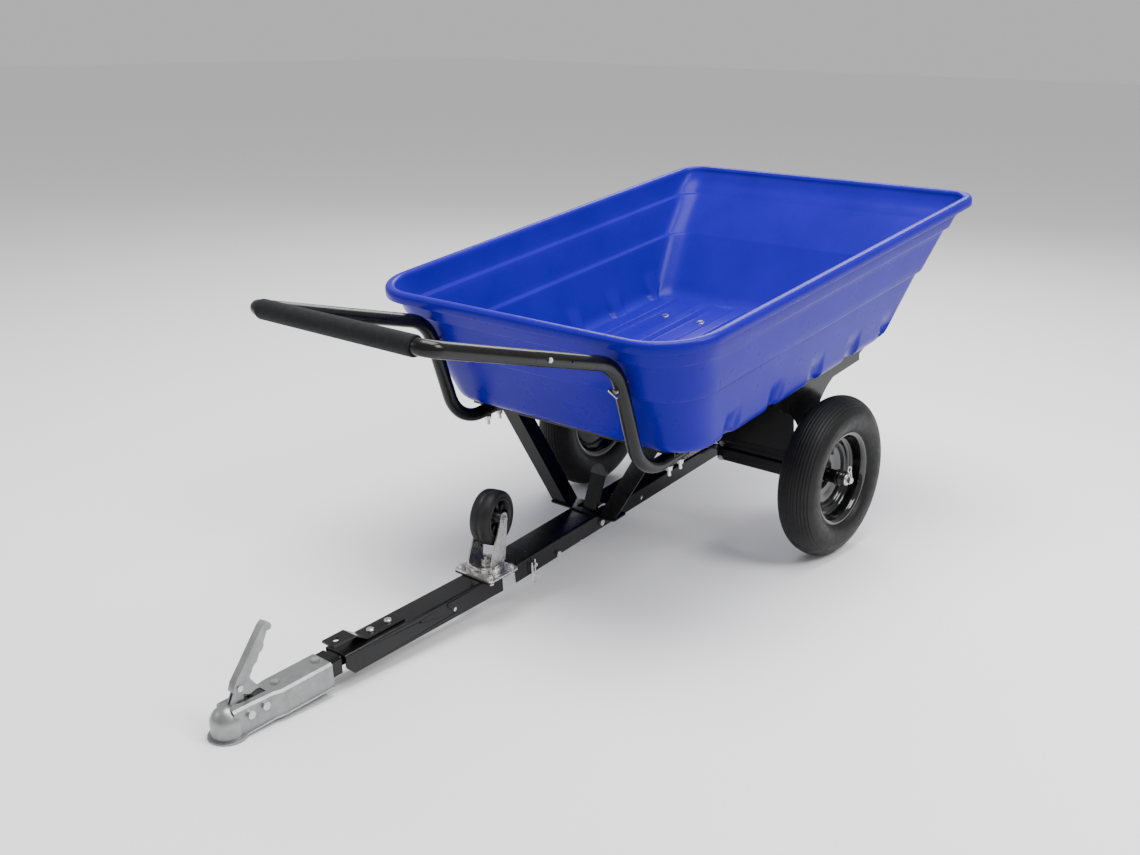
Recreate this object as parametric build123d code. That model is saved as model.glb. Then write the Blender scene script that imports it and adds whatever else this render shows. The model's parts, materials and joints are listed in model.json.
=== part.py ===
from build123d import *
import math
import os

# Garden cart: a tipping poly tub on two pneumatic wheels, with a push handle and a folding tongue
# that carries a ball coupler and a caster. Millimetres, +Z up, +X across the cart, -Y forward.
# It stands as it does when unhitched: both tyres and the coupler's nose on the ground, pitched forward.

# ---- driving dimensions -------------------------------------------------------------------
AXLE_Y = 495.7            # axle's place along the cart, which centres the cart's box on the origin
WHEEL_RADIUS = 200.0
WHEEL_X = 378.5           # tyre's middle plane from the cart's middle plane
TYRE_WIDTH = 100.0
RIM_FLANGE_RADIUS = 115.0
RIM_WALL = 3.0
AXLE_RADIUS = 8.0
RUNNING_GAP = 0.05        # radial clearance of every turning fit
FREE_GAP = 0.4            # clearance between pieces that pass each other

CHANNEL_PITCH = 7.2       # slope of the drawbar channel, nose down
TUB_PITCH = 8.1           # slope of the tub's rim
TONGUE_PITCH = 4.2        # slope of the tongue

CHANNEL_HALF_WIDTH = 40.0
CHANNEL_TOP = 10.0        # above the axle
CHANNEL_BOTTOM = -30.0
CHANNEL_EAR_BOTTOM = -34.0
CHANNEL_FRONT = -776.0
CHANNEL_REAR = 46.0
SHEET = 3.0               # folded steel sheet

PIVOT_Y = -636.5          # tongue pivot, from the axle
PIVOT_Z = -25.0
PIVOT_BOLT_RADIUS = 5.0
LOCK_PIN_RADIUS = 5.0
LOCK_PIN_Y = -84.0        # lock pin from the tongue pivot, in the tongue's frame
LOCK_PIN_Z = 8.5
LOCK_HOLE_Y = -318.0      # hole that takes the lock pin when the tongue is folded under
LOCK_HOLE_Z = -7.0
PIN_SLOT_GAP = 0.4

TONGUE_TUBE_WIDTH = 40.0
TONGUE_TUBE_BOTTOM = -2.5
TONGUE_TUBE_TOP = 19.5
SLEEVE_HALF_WIDTH = 31.0
SLEEVE_TOP = 22.5
SLEEVE_BOTTOM = -25.0
SLEEVE_FRONT = -615.0
SLEEVE_REAR = -172.0
HITCH_BOLTS = ((0.0, -524.0), (0.0, -477.0))
HITCH_HOLE_Y = -611.0
HITCH_HOLE_RADIUS = 6.5
HITCH_TOP = 47.0
HITCH_BAR = (38.0, 5.0)

COUPLER_REAR = -648.5
COUPLER_BALL_Y = -872.0
COUPLER_HALF_WIDTH = 31.0
NECK_HALF_WIDTH = 27.0
COUPLER_KINK = (-784.0, -768.0)   # where the neck widens into the box
COUPLER_TOP = 23.5
NECK_TOP = 28.0           # the neck's top at the dome, from where it slopes down to the box
COUPLER_BOTTOM = -28.85
COUPLER_LIP = (4.7, 3.0)  # width and thickness of the lip along the lower edges
COUPLER_SIDE_BOLTS = ((-838.0, 7.0), (-805.0, 9.0))
COUPLER_TOP_BOLTS = ((0.0, -760.0), (0.0, -664.0))
COUPLER_SOCKET_RADIUS = 25.4
COUPLER_FLANGE_RADIUS = 38.0
COUPLER_SHEET = 4.0
LEVER_PIVOT_Y = -841.0
LEVER_PIVOT_Z = 56.0
LEVER_RISE = 52.0         # the raised lever's slope
LEVER_HALF_WIDTH = 8.5
LEVER_SHEET = 2.5
JAW_PIVOT_Y = -821.0
JAW_PIVOT_Z = 9.0
JAW_PIN_RADIUS = 3.0

CASTER_Y = -189.0
CASTER_AXLE_Y = -155.0
CASTER_TURN = 13.0        # how far the fork stands turned on its swivel
CASTER_AXLE_Z = 137.0
CASTER_WHEEL_RADIUS = 61.5
CASTER_WHEEL_WIDTH = 48.0
CASTER_PLATE = (112.0, 90.0, 4.0)
PLATE_BOLTS = [(x, CASTER_Y + y) for x in (-43, 43) for y in (-32, 32)]
MOUNT_TOP = SLEEVE_TOP + 3.0
PLATE_TOP = MOUNT_TOP + CASTER_PLATE[2]
RACE_TOP = PLATE_TOP + 11.0
KING_RADIUS = 6.0

TUB_WALL = 4.0
TUB_FLOOR = 255.0         # outside of the floor, above the axle
LEDGE_LOW = 410.0
LEDGE_HIGH = 501.0
RIM_Z = 553.6             # middle of the rolled rim
RIM_HALF_WIDTH = 443.5
RIM_FRONT = -676.5
RIM_REAR = 612.3
RIM_ROLL = (26.0, 24.0)   # width and height of the rolled rim
ROLL_INNER_FACE = 5.5     # inner face of the hollow in the roll, inwards from the roll's middle
TUB_STAGES = (
    # each stage: two sections as (half width, front, rear, z, front corner radius, rear corner radius)
    ((362, -548, 322, TUB_FLOOR, 90, 60), (394, -606, 455, LEDGE_LOW, 105, 62)),
    ((404, -618, 455, LEDGE_LOW, 110, 64), (420, -641, 553, LEDGE_HIGH, 118, 64)),
    ((430, -654, 553, LEDGE_HIGH, 122, 64), (437, -667, 604, RIM_Z, 126, 60)),
)
TUB_BOTTOM_ROUND = 26.0
COS45 = math.cos(math.radians(45))
FLOOR_RIB_X = (59.0, 177.0, 295.0)
FLOOR_RIB = (48.0, 12.0)  # width and height
FLOOR_RIB_FRONT = -500.0
FLOOR_RIB_REAR = 292.0

SIDE_FRAME_X = 316.0
FRONT_RAIL_BOTTOM = 244.0
REAR_RAIL_BOTTOM = 234.0
BEAM_END_X = 298.0

SIDES = {"left": -1, "right": 1}
WASHER = 1.5
FLOOR_BOLTS = [(side * x, y) for side in SIDES.values() for x in (118, 236) for y in (-480, 173)]
FLOOR_BOLT_HOLE = 3.2
BEAM_START_X = 63.0       # where the open section starts; a bracket behind the axle joins it to the channel
BEAM_BOLTS = ((-28.0, -13.0), (-22.0, 25.0))   # the front face each bolt sits on, and its height
BEAM_BOLT_X = 77.0

HANDLE_TUBE_RADIUS = 16.0
HANDLE_TUBE_WALL = 2.0
HANDLE_X = 272.0
HANDLE_CROSSBAR_X = 244.0
HANDLE_BEND = 95.0
HANDLE_CORNER = 28.0
GRIP_RADIUS = 20.5
GRIP_HALF = 216.0
UNDER_RUN_Z = 227.5       # middle of the lower tubes' run under the floor
UPPER_BEND = (-662.0, 499.0)
LOWER_BEND = (-606.0, UNDER_RUN_Z)
CROSSBAR = (-1125.0, 682.0)
JOINT_SHARE = 0.51        # how far down the arm the upper tube enters the lower one
HANDLE_OVERLAP = 70.0
SCREW_SHARE = 0.578
SPARE_HOLE_SHARE = 0.705
CLAMP_BOLT_Y = (-507.0, -466.0)
STAY_Z = 447.0
STAY_LENGTH = 46.0

LATCH_PIVOT = (-479.0, -14.0)
LATCH_LEAN = 28.0
LATCH_REACH = 131.0
LATCH_HALF_WIDTH = 20.0
CLIP_WIRE = 1.6
LOCK_CLIP_WIRE = 1.7

HUB_OUT = 42.0            # hub's length each side of the wheel's middle
HUB_IN = 34.0
HUB_RADIUS = 17.0
RIM_BEAD_RADIUS = 101.0
RIM_HALF_WIDTH_X = 35.0
BEARING_RADIUS = 13.0
BEARING_WIDTH = 14.0

# ---- frames: the chassis, the tub and the tongue, each with its own slope -------------------
CHASSIS = Location((0, AXLE_Y, WHEEL_RADIUS), (CHANNEL_PITCH, 0, 0))
TUB = Location((0, AXLE_Y, WHEEL_RADIUS), (TUB_PITCH, 0, 0))
TONGUE = CHASSIS * Location((0, PIVOT_Y, PIVOT_Z), (TONGUE_PITCH - CHANNEL_PITCH, 0, 0))


# ---- small helpers --------------------------------------------------------------------------
def block(x0, x1, y0, y1, z0, z1):
    return Pos((x0 + x1) / 2, (y0 + y1) / 2, (z0 + z1) / 2) * Box(x1 - x0, y1 - y0, z1 - z0)


def rod_x(radius, x0, x1, y=0.0, z=0.0):
    return Pos((x0 + x1) / 2, y, z) * Rot(0, 90, 0) * Cylinder(radius, x1 - x0)


def rod_y(radius, y0, y1, x=0.0, z=0.0):
    return Pos(x, (y0 + y1) / 2, z) * Rot(90, 0, 0) * Cylinder(radius, y1 - y0)


def rod_z(radius, z0, z1, x=0.0, y=0.0):
    return Pos(x, y, (z0 + z1) / 2) * Cylinder(radius, z1 - z0)


def hexagon_z(across_flats, z0, z1, x=0.0, y=0.0):
    outline = RegularPolygon(across_flats / 2, 6, major_radius=False)
    return Pos(x, y, z0) * extrude(outline, z1 - z0)


def hexagon_x(across_flats, x0, x1, y=0.0, z=0.0):
    outline = Plane.YZ * RegularPolygon(across_flats / 2, 6, major_radius=False)
    return Pos(x0, y, z) * extrude(outline, x1 - x0)


def plate_x(points, x0, x1):
    """A flat plate whose outline is given as (y, z) points, from x0 to x1."""
    outline = Plane.YZ * make_face(Polyline(*points, close=True))
    return Pos(x0, 0, 0) * extrude(outline, x1 - x0)


def plate_y(points, y0, y1):
    """A flat plate whose outline is given as (x, z) points, from y0 to y1."""
    outline = Plane.XZ * make_face(Polyline(*points, close=True))
    return Pos(0, y1, 0) * extrude(outline, y1 - y0)


def rounded_plate(width, length, z0, z1, radius, y=0.0):
    return Pos(0, y, z0) * extrude(RectangleRounded(width, length, radius), z1 - z0)


def mirrored_pair(part):
    return Compound(children=[part, mirror(part, Plane.YZ)])


def tube_along(points, bend, radius, wall=None):
    """A round tube, or a solid rod when no wall is given, with bends of one radius."""
    path = FilletPolyline(*points, radius=bend) if len(points) > 2 else Line(*points)
    start = Plane(origin=path @ 0, z_dir=path % 0)
    tube = sweep(start * Circle(radius), path)
    if wall:
        tube -= sweep(start * Circle(radius - wall), path)
    return tube


def wing_bolt(height):
    """A wing bolt that points down: shank up from z = 0 by height, collar and two wings below."""
    shank = rod_z(3.0, -0.5, height)
    collar = rod_z(6.0, -6.0, 0.0)
    wings = Pos(0, 0, -9) * Box(26, 3, 9)
    wings = fillet(wings.edges().filter_by(Axis.Y), 3.5)
    return shank + collar + wings


# ---- tub ------------------------------------------------------------------------------------
def tub_section(inset, half_width, front, rear, z, front_radius, rear_radius):
    """A rounded rectangle across the tub at one height, inset by the wall where asked."""
    w, f, r = half_width - inset, front + inset, rear - inset
    a, b = front_radius - inset, rear_radius - inset
    edges = [
        Line((-w + a, f), (w - a, f)),
        ThreePointArc((w - a, f), (w - a + a * COS45, f + a - a * COS45), (w, f + a)),
        Line((w, f + a), (w, r - b)),
        ThreePointArc((w, r - b), (w - b + b * COS45, r - b + b * COS45), (w - b, r)),
        Line((w - b, r), (-w + b, r)),
        ThreePointArc((-w + b, r), (-w + b - b * COS45, r - b + b * COS45), (-w, r - b)),
        Line((-w, r - b), (-w, f + a)),
        ThreePointArc((-w, f + a), (-w + a - a * COS45, f + a - a * COS45), (-w + a, f)),
    ]
    return Pos(0, 0, z) * make_face(edges)


def tub_body(inset, floor_lift):
    """The tub's outside, or its hollow when inset by the wall and lifted off the floor."""
    body = None
    for low, high in TUB_STAGES:
        lift_low = floor_lift if low[3] == TUB_FLOOR else inset
        low = (*low[:3], low[3] + lift_low, *low[4:])
        high_lift = inset if high[3] < RIM_Z else RIM_ROLL[1]
        high = (*high[:3], high[3] + high_lift, *high[4:])
        stage = loft([tub_section(inset, *low), tub_section(inset, *high)], ruled=True)
        if body is None:
            bottom = stage.edges().group_by(Axis.Z)[0]
            stage = fillet(bottom, TUB_BOTTOM_ROUND - inset)
        body = stage if body is None else body + stage
    return body


def make_tub():
    shell = tub_body(0.0, 0.0) - tub_body(TUB_WALL, TUB_WALL)
    roll_w, roll_h = RIM_ROLL
    shell &= block(-600, 600, -900, 900, 0, RIM_Z)
    sections = []
    for grow, radius in ((roll_w / 2, 138), (-roll_w / 2, 112)):
        corner = (RIM_HALF_WIDTH + grow, RIM_FRONT - grow, RIM_REAR + grow, RIM_Z - roll_h / 2, radius,
                  radius - 66)
        sections.append(extrude(tub_section(0.0, *corner), roll_h))
    roll = sections[0] - sections[1]
    roll = fillet(roll.edges().group_by(Axis.Z)[-1], 10.0)
    hollow = []
    for grow in (roll_w / 2 - TUB_WALL, -ROLL_INNER_FACE):
        corner = (RIM_HALF_WIDTH + grow, RIM_FRONT - grow, RIM_REAR + grow, RIM_Z - roll_h / 2 - 1, 125, 59)
        hollow.append(extrude(tub_section(0.0, *corner), roll_h + 1 - TUB_WALL))
    tub = shell + (roll - (hollow[0] - hollow[1]))
    rib_w, rib_h = FLOOR_RIB
    for x in FLOOR_RIB_X:
        for side in SIDES.values():
            rib = floor_rib(side * x, rib_w / 2, FLOOR_RIB_FRONT, FLOOR_RIB_REAR,
                            TUB_FLOOR + 2, TUB_FLOOR + TUB_WALL + rib_h)
            inside = floor_rib(side * x, rib_w / 2 - TUB_WALL, FLOOR_RIB_FRONT + TUB_WALL,
                               FLOOR_RIB_REAR - TUB_WALL, TUB_FLOOR - 1, TUB_FLOOR + rib_h)
            tub = tub + rib - inside
    for x, y in FLOOR_BOLTS:
        tub -= rod_z(FLOOR_BOLT_HOLE, TUB_FLOOR - 5, TUB_FLOOR + 8, x, y)
    for side in SIDES.values():
        tub -= stay_frame(side) * rod_z(3.1, 30, STAY_LENGTH + 2)
    return tub


def floor_rib(x, half, y0, y1, z0, z1):
    """A raised rib in the floor, open below."""
    rib = block(x - half, x + half, y0, y1, z0, z1)
    return fillet(rib.edges().filter_by(Axis.Z), half / 2)


def make_floor_bolts():
    """Round-headed bolts down through the floor, with a nut under each rail."""
    head = TUB_FLOOR + TUB_WALL + WASHER
    bolts = []
    for x, y in FLOOR_BOLTS:
        nut = FRONT_RAIL_BOTTOM if y < 0 else REAR_RAIL_BOTTOM
        bolt = rod_z(8.0, head, head + 3, x, y) + rod_z(3.0, nut - 8, head, x, y)
        bolts.append(bolt + hexagon_z(10, nut - 5.5, nut, x, y))
    return Compound(children=bolts)


def make_floor_washers():
    face = TUB_FLOOR + TUB_WALL
    washers = [rod_z(11, face, face + WASHER, x, y) - rod_z(FLOOR_BOLT_HOLE, face - 1, face + 3, x, y)
               for x, y in FLOOR_BOLTS]
    return Compound(children=washers)


# ---- frame under the tub --------------------------------------------------------------------
def make_floor_rail(y0, y1, half_length, bottom, holes):
    """A box rail across the cart, under the floor."""
    top = TUB_FLOOR
    rail = block(-half_length, half_length, y0, y1, bottom, top)
    rail -= block(-half_length - 1, half_length + 1, y0 + SHEET, y1 - SHEET, bottom + SHEET, top - SHEET)
    for x, y in holes:
        rail -= rod_z(FLOOR_BOLT_HOLE, bottom - 1, top + 1, x, y)
    return rail


def make_side_frame(side):
    """Fan-shaped plate that carries the tub on the axle, with a turned-in top flange and an axle boss."""
    x_out = SIDE_FRAME_X
    outline = [(-150, 252), (300, 252), (300, 238), (252, 222), (252, 205), (150, 205), (-120, 205),
               (-150, 222)]
    plate = plate_x(outline, x_out - SHEET, x_out)
    waist = plate_x([(-120, 206), (150, 206), (22, -10), (-22, -10)], x_out - SHEET, x_out)
    waist -= rod_x(150, x_out - 10, x_out + 10, 168, 62)
    waist -= rod_x(150, x_out - 10, x_out + 10, -176, 62)
    plate += waist + rod_x(24, x_out - SHEET, x_out)
    flange = block(x_out - 40, x_out, -150, 300, 252, TUB_FLOOR)
    boss_end = WHEEL_X - HUB_IN - FREE_GAP
    frame = plate + flange + rod_x(15, x_out - 14, boss_end)
    frame -= rod_x(AXLE_RADIUS + RUNNING_GAP, x_out - 20, boss_end + 1)
    frame -= block(x_out - 45, x_out - 18, 156, 208, 230, 260)
    return frame if side > 0 else mirror(frame, Plane.YZ)


def make_cross_panel():
    """Upright panel between the side frames, with a folded lip along its lower edge."""
    half = SIDE_FRAME_X - SHEET
    panel = plate_y([(-half, 250), (-half, 70), (half, 70), (half, 250)], -63, -60)
    lip = block(-half, half, -60, -40, 70, 73)
    panel -= rod_y(34, -70, -50, 0, 165)
    return panel + lip


def make_strut(side):
    """One leg of the V under the tub's front: a sloped web with a flange along its inner edge."""
    top = FRONT_RAIL_BOTTOM
    web = plate_y([(52, 22), (96, 22), (243, top), (193, top)], -493, -490)
    leg = web + plate_y([(52, 22), (56, 22), (197, top), (193, top)], -490, -452)
    return leg if side > 0 else mirror(leg, Plane.YZ)


def make_strut_foot():
    """Plate that joins the legs and rests on the drawbar channel when the tub is down."""
    foot = block(-98, 98, -500, -452, 18.6, 22.0)
    foot = fillet(foot.edges().filter_by(Axis.Z), 6.0)
    return foot - block(-LATCH_HALF_WIDTH - 6, LATCH_HALF_WIDTH + 6, -486, -440, 10, 30)


# ---- push handle ----------------------------------------------------------------------------
def arm_point(side, share):
    """A point on the arm's centre line: 0 at the crossbar's corner, 1 at the upper bend's corner."""
    start = Vector(side * HANDLE_CROSSBAR_X, *CROSSBAR)
    end = Vector(side * HANDLE_X, *UPPER_BEND)
    return start + (end - start) * share


def make_handle_tube(side):
    """Lower tube: from under the floor, up past the tub's front, and forward to the joint."""
    points = [(side * HANDLE_X, -452, UNDER_RUN_Z), (side * HANDLE_X, *LOWER_BEND),
              (side * HANDLE_X, *UPPER_BEND), tuple(arm_point(side, JOINT_SHARE))]
    tube = tube_along(points, HANDLE_BEND, HANDLE_TUBE_RADIUS, HANDLE_TUBE_WALL)
    for y in CLAMP_BOLT_Y:
        tube -= rod_z(3.2, UNDER_RUN_Z - 20, UNDER_RUN_Z + 20, side * HANDLE_X, y)
    tube -= stay_frame(side) * rod_z(3.1, -10, 40)
    for share in (SCREW_SHARE, SPARE_HOLE_SHARE):
        tube -= screw_hole(side, share)
    return tube


def screw_hole(side, share):
    place = arm_point(side, share)
    return rod_x(2.2, min(0, side * 400), max(0, side * 400), place.Y, place.Z)


def stay_frame(side):
    """On the front of a lower tube, square to it, +Z through the tube to the tub's front wall."""
    (y1, z1), (y0, z0) = UPPER_BEND, LOWER_BEND
    share = (STAY_Z - z0) / (z1 - z0)
    slope = math.degrees(math.atan2(z1 - z0, y1 - y0)) - 180
    middle = Location((side * HANDLE_X, y0 + (y1 - y0) * share, STAY_Z), (slope, 0, 0))
    return middle * Pos(0, 0, -HANDLE_TUBE_RADIUS)


def handle_sweep(share, radius):
    """A solid round bar along the whole U, ending at one share of each arm."""
    places = [(-1, share), (-1, 0), (1, 0), (1, share)]
    points = [tuple(arm_point(side, along)) for side, along in places]
    return tube_along(points, HANDLE_CORNER, radius)


def make_push_handle():
    """Upper tube: a U whose narrowed ends slide into the lower tubes."""
    neck = HANDLE_TUBE_RADIUS - HANDLE_TUBE_WALL
    reach = JOINT_SHARE + HANDLE_OVERLAP / (arm_point(1, 1) - arm_point(1, 0)).length
    handle = handle_sweep(JOINT_SHARE, HANDLE_TUBE_RADIUS) + handle_sweep(reach, neck - 0.1)
    handle -= handle_sweep(JOINT_SHARE - 0.03, neck)
    handle -= handle_sweep(reach + 0.01, neck - HANDLE_TUBE_WALL)
    for side in SIDES.values():
        handle -= screw_hole(side, SCREW_SHARE)
    return handle


def make_handle_grip():
    """Foam sleeve over the whole crossbar."""
    half = GRIP_HALF
    y, z = CROSSBAR
    grip = rod_x(GRIP_RADIUS, -half, half, y, z)
    grip = fillet(grip.edges(), 4.0)
    return grip - rod_x(HANDLE_TUBE_RADIUS, -half - 1, half + 1, y, z)


def make_handle_screws():
    screws = []
    for side in SIDES.values():
        point = arm_point(side, SCREW_SHARE)
        x = abs(point.X)
        out = x + HANDLE_TUBE_RADIUS + 0.4   # the arm slants, so the head stands a little off the tube
        screw = rod_x(2.0, out - 5, out, point.Y, point.Z) + rod_x(5.0, out, out + 3, point.Y, point.Z)
        screws.append(screw if side > 0 else mirror(screw, Plane.YZ))
    return Compound(children=screws)


def make_clamp_bolts():
    """Bolts with a washer, a nut and a bare end below, that clamp the lower tubes to the front rail."""
    bolt = rod_z(3.0, -0.5, 37.0) + rod_z(9.5, -2.5, 0) + hexagon_z(14, -10, -2.5) + rod_z(3.8, -24, -10)
    base = UNDER_RUN_Z - HANDLE_TUBE_RADIUS
    places = [Pos(side * HANDLE_X, y, base) for side in SIDES.values() for y in CLAMP_BOLT_Y]
    return Compound(children=[place * bolt for place in places])


def make_stay_bolts():
    """Wing bolts through the lower tubes into the tub's front wall."""
    bolts = [stay_frame(side) * Rot(0, 0, 40) * wing_bolt(STAY_LENGTH) for side in SIDES.values()]
    return Compound(children=bolts)


# ---- chassis: channel, axle, beams ------------------------------------------------------------
def to_chassis(y, z):
    """A point in the tongue's frame, at rest, as chassis coordinates."""
    slope = math.radians(TONGUE_PITCH - CHANNEL_PITCH)
    return (PIVOT_Y + y * math.cos(slope) - z * math.sin(slope),
            PIVOT_Z + y * math.sin(slope) + z * math.cos(slope))


def make_channel():
    """Folded channel, open below, with deeper ears at the front that hold the tongue's pivot."""
    half, top = CHANNEL_HALF_WIDTH, CHANNEL_TOP
    channel = block(-half, half, CHANNEL_FRONT, CHANNEL_REAR, CHANNEL_BOTTOM, top)
    channel += block(-half, half, CHANNEL_FRONT, PIVOT_Y + 8, CHANNEL_EAR_BOTTOM, CHANNEL_BOTTOM)
    channel = fillet(channel.edges().filter_by(Axis.Y).group_by(Axis.Z)[-1], 5.0)
    hollow = block(-half + SHEET, half - SHEET, CHANNEL_FRONT - 1, CHANNEL_REAR + 1, -50, top - SHEET)
    channel -= fillet(hollow.edges().filter_by(Axis.Y).group_by(Axis.Z)[-1], 2.5)
    channel -= rod_x(PIVOT_BOLT_RADIUS + RUNNING_GAP, -50, 50, PIVOT_Y, PIVOT_Z)
    channel -= pin_slot()
    channel -= rod_x(LOCK_PIN_RADIUS + PIN_SLOT_GAP, -50, 50, PIVOT_Y - LOCK_HOLE_Y, PIVOT_Z - LOCK_HOLE_Z)
    channel -= rod_x(LOCK_PIN_RADIUS + PIN_SLOT_GAP, -50, 50, PIVOT_Y - LOCK_PIN_Y, PIVOT_Z - LOCK_PIN_Z)
    channel -= rod_x(AXLE_RADIUS, -50, 50)
    channel -= rod_x(5.0, -50, 50, *LATCH_PIVOT)
    slot = LATCH_HALF_WIDTH + 2
    return channel - block(-slot, slot, LATCH_PIVOT[0] - 6, LATCH_PIVOT[0] + 48, 0, top + 1)


def pin_slot():
    """Slots in both ears that let the lock pin leave with the tongue as it folds down."""
    y, z = to_chassis(LOCK_PIN_Y, LOCK_PIN_Z)
    reach, width = math.hypot(LOCK_PIN_Y, LOCK_PIN_Z), LOCK_PIN_RADIUS + PIN_SLOT_GAP
    ring = rod_x(reach + width, -50, 50, PIVOT_Y, PIVOT_Z) - rod_x(reach - width, -51, 51, PIVOT_Y, PIVOT_Z)
    path = ring & block(-50, 50, CHANNEL_FRONT, y + 30, CHANNEL_EAR_BOTTOM - 5, z)
    return path + rod_x(width, -50, 50, y, z)


def make_beam(side):
    """Axle beam: a folded rail round the axle, joined to the channel's side by a bracket behind the axle."""
    start = BEAM_START_X
    outside = ((-28, -20), (28, -20), (28, 52), (18, 58), (-8, 58), (-22, 33), (-22, 17), (-28, 12))
    inside = ((-25, -21), (25, -21), (25, 50), (17, 55), (-6, 55), (-19, 32), (-19, 15), (-25, 10))
    beam = plate_x(outside, start, BEAM_END_X) - plate_x(inside, start - 1, BEAM_END_X + 1)
    beam += block(CHANNEL_HALF_WIDTH, start + 4, 14, 28, -18, 46)
    beam += block(CHANNEL_HALF_WIDTH, CHANNEL_HALF_WIDTH + SHEET, 12, 44, CHANNEL_BOTTOM + 2, 46)
    beam += block(BEAM_END_X - SHEET, BEAM_END_X, -24, 24, -18, 50)
    beam += block(start, start + SHEET, -24, 24, -18, 50)
    beam -= rod_x(AXLE_RADIUS, start - 30, BEAM_END_X + 1)
    for face, z in BEAM_BOLTS:
        beam -= rod_y(4.0, face - 2, face + 8, BEAM_BOLT_X, z)
    return beam if side > 0 else mirror(beam, Plane.YZ)


def make_beam_bolts():
    """Hexagon bolts through the beams' front faces."""
    bolts = []
    for face, z in BEAM_BOLTS:
        head = extrude(Plane.XZ * RegularPolygon(6.5, 6, major_radius=False), 6)
        bolt = Pos(BEAM_BOLT_X, face, z) * head + rod_y(4.0, face, face + 6, BEAM_BOLT_X, z)
        bolts += [bolt, mirror(bolt, Plane.YZ)]
    return Compound(children=bolts)


def make_axle():
    end = WHEEL_X + HUB_OUT + 16
    axle = rod_x(AXLE_RADIUS, -end, end)
    axle = chamfer(axle.edges(), 1.5)
    for side in SIDES.values():
        axle -= rod_z(CLIP_WIRE, -20, 20, side * (end - 7), 0)
    return axle


def make_axle_washers():
    face = WHEEL_X + HUB_OUT + FREE_GAP
    washer = Pos(face, 0, 0) * (rod_x(15.0, 0, 4.5))
    washer = fillet(washer.edges().group_by(Axis.X)[-1], 3.0) - rod_x(AXLE_RADIUS, face - 1, face + 6)
    return mirrored_pair(washer)


def make_clip(wire, throat, loop=9.0):
    """An R-shaped wire clip in the YZ plane: straight leg down the middle, loop at the top."""
    loop_middle = throat + 8 + loop
    leg = rod_z(wire, -throat, loop_middle - loop + wire)
    ring = Pos(0, 0, loop_middle) * Rot(0, 90, 0) * Torus(loop - wire, wire)
    side_wire = [(0, loop - 2.5, loop_middle - 3), (0, 9.8, throat - 4), (0, 9.6, -throat + 6)]
    waist = tube_along(side_wire, 12.0, wire)
    return leg + ring + waist


def make_axle_clips():
    end = WHEEL_X + HUB_OUT + 16 - 7
    clip = make_clip(CLIP_WIRE - 0.1, 11.0)
    return Compound(children=[Pos(side * end, 0, 0) * clip for side in SIDES.values()])


def make_pivot_bolt():
    half = CHANNEL_HALF_WIDTH
    bolt = rod_x(PIVOT_BOLT_RADIUS, -half - 9, half, PIVOT_Y, PIVOT_Z)
    bolt += hexagon_x(13, half, half + 6, PIVOT_Y, PIVOT_Z)
    return bolt + hexagon_x(13, -half - 7, -half, PIVOT_Y, PIVOT_Z)


def make_latch_bolt():
    half = CHANNEL_HALF_WIDTH
    y, z = LATCH_PIVOT
    bolt = rod_x(5.0, -half - 6, half, y, z) + hexagon_x(13, half, half + 6, y, z)
    return bolt + hexagon_x(13, -half - 5, -half, y, z)


def latch_frame():
    return Location((0, *LATCH_PIVOT), (-LATCH_LEAN, 0, 0))


def make_latch_lever():
    """Foot lever that stands behind the strut foot: a plate on a cross barrel, rounded at its top."""
    w, reach = LATCH_HALF_WIDTH, LATCH_REACH
    plate = plate_y([(-w, 6), (w, 6), (w, reach - w), (-w, reach - w)], -3, 3)
    plate += rod_y(w, -3, 3, 0, reach - w)
    lever = plate + rod_x(7.0, -w, w)
    return lever - rod_x(5.0 + RUNNING_GAP, -w - 1, w + 1)


def make_latch_cap():
    """Vinyl cap dipped over the lever's rounded end."""
    w, reach = LATCH_HALF_WIDTH, LATCH_REACH
    low = reach - w - 4
    out = w + 1.8
    cap = rod_y(out, -4.8, 4.8, 0, reach - w) + block(-out, out, -4.8, 4.8, low, reach - w)
    cap &= block(-40, 40, -10, 10, low, 200)
    inside = rod_y(w, -3, 3, 0, reach - w) + block(-w, w, -3, 3, low - 1, reach - w)
    return cap - inside


# ---- wheels -----------------------------------------------------------------------------------
def revolve_x(points):
    """A ring turned about the X axis from an outline of (x, radius) points."""
    outline = Plane.XY * make_face(Polyline(*points, close=True))
    return revolve(outline, Axis.X)


def make_tyre():
    """Pneumatic tyre: a hollow round section, open towards the rim, with grooves round the tread."""
    middle = WHEEL_RADIUS - TYRE_WIDTH / 2
    section = Pos(0, middle) * Circle(TYRE_WIDTH / 2)
    section -= Pos(0, middle) * Circle(TYRE_WIDTH / 2 - 6)
    bead = Pos(0, RIM_BEAD_RADIUS + 8) * Rectangle(2 * RIM_HALF_WIDTH_X - 8, 16)
    section += (bead - Pos(0, middle) * Circle(TYRE_WIDTH / 2 - 6)
                - Pos(0, RIM_BEAD_RADIUS + 8) * Rectangle(40, 20))
    section -= Pos(0, RIM_BEAD_RADIUS - 20) * Rectangle(120, 40)
    for side in SIDES.values():
        flange = RIM_HALF_WIDTH_X - RIM_WALL - 0.1
        section -= Pos(side * (flange + 10), RIM_FLANGE_RADIUS + 0.4 - 15) * Rectangle(20, 30)
    for x in (-24, -12, 0, 12, 24):
        y = middle + math.sqrt((TYRE_WIDTH / 2) ** 2 - x ** 2)
        section -= Pos(x, y) * Rectangle(3.0, 3.0)
    return revolve(section, Axis.X)


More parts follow.
